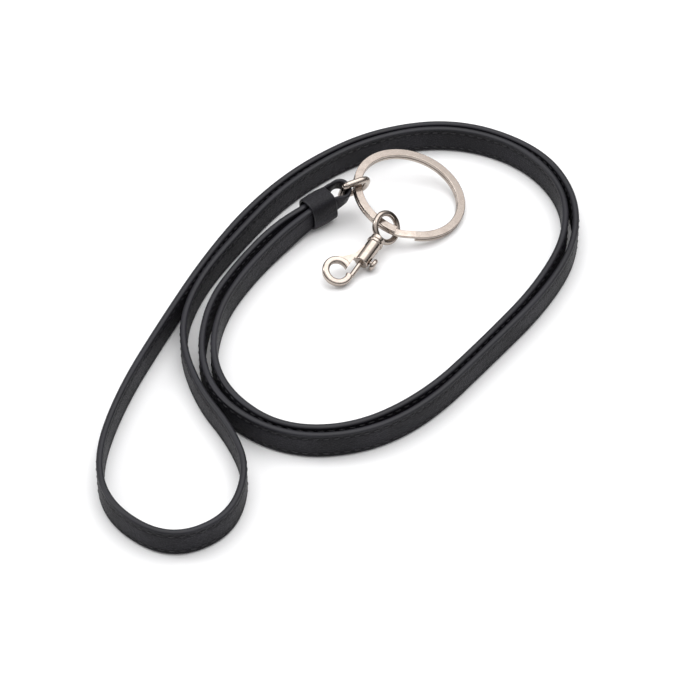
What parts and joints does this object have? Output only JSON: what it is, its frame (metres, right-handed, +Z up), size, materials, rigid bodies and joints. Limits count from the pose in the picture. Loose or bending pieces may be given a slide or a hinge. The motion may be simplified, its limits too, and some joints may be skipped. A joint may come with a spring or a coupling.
{
  "type": "wristlet keychain",
  "caption": "Long flat leather wrist strap doubled into a loop, with a keeper, a D-ring, a split key ring and a small swivel bolt snap.",
  "frame": {"origin": "centre of the bounding box's underside, on the surface the strap stands on", "axes": "+Z up, along the strap's width; +Y along the longest extent of the loop, from the small wrist end to the hardware end; +X to the right"},
  "size_m": [0.1597, 0.2, 0.0162],
  "materials": {
    "black_leather": "fine pebbled grain",
    "edge_core": "smooth painted edge",
    "satin_nickel": "satin nickel plate",
    "spring_steel": "bright drawn wire"
  },
  "bodies": {
    "strap": {"strap_face_leather": "black_leather", "strap_core": "edge_core", "strap_lining_leather": "black_leather", "keeper": "black_leather", "end_tab": "black_leather"},
    "d_ring": {"d_ring": "satin_nickel"},
    "split_ring": {"split_ring": "satin_nickel"},
    "snap_eye": {"swivel_eye": "satin_nickel"},
    "snap_hook": {"hook_body": "satin_nickel", "bolt_spring": "spring_steel"},
    "snap_bolt": {"bolt": "satin_nickel", "thumb_knob": "satin_nickel"}
  },
  "joints": [
    {"name": "d_ring_swing", "type": "hinge", "parent": "strap", "child": "d_ring", "pos_m": [-0.00187, 0.05987, 0.01084], "axis": [0.1847, -0.4147, 0.891], "range_deg": [-15, 25]},
    {"name": "split_ring_swing", "type": "hinge", "parent": "d_ring", "child": "split_ring", "pos_m": [0.00313, 0.06188, 0.01197], "axis": [0, -0.9924, -0.1234], "range_deg": [-10, 60]},
    {"name": "snap_eye_swing", "type": "hinge", "parent": "split_ring", "child": "snap_eye", "pos_m": [0.01327, 0.04551, 0.00711], "axis": [0.8659, -0.406, -0.2923], "range_deg": [-20, 90]},
    {"name": "snap_swivel", "type": "hinge", "parent": "snap_eye", "child": "snap_hook", "pos_m": [0.0131, 0.0453, 0.0069], "axis": [-0.5175, -0.8313, -0.2028], "continuous": true},
    {"name": "bolt_slide", "type": "slide", "parent": "snap_hook", "child": "snap_bolt", "axis": [0.5175, 0.8313, 0.2028], "range_m": [0, 0.0033], "stiffness_N_per_m": 400, "springref_m": -0.003, "deforming": ["bolt_spring"]}
  ]
}
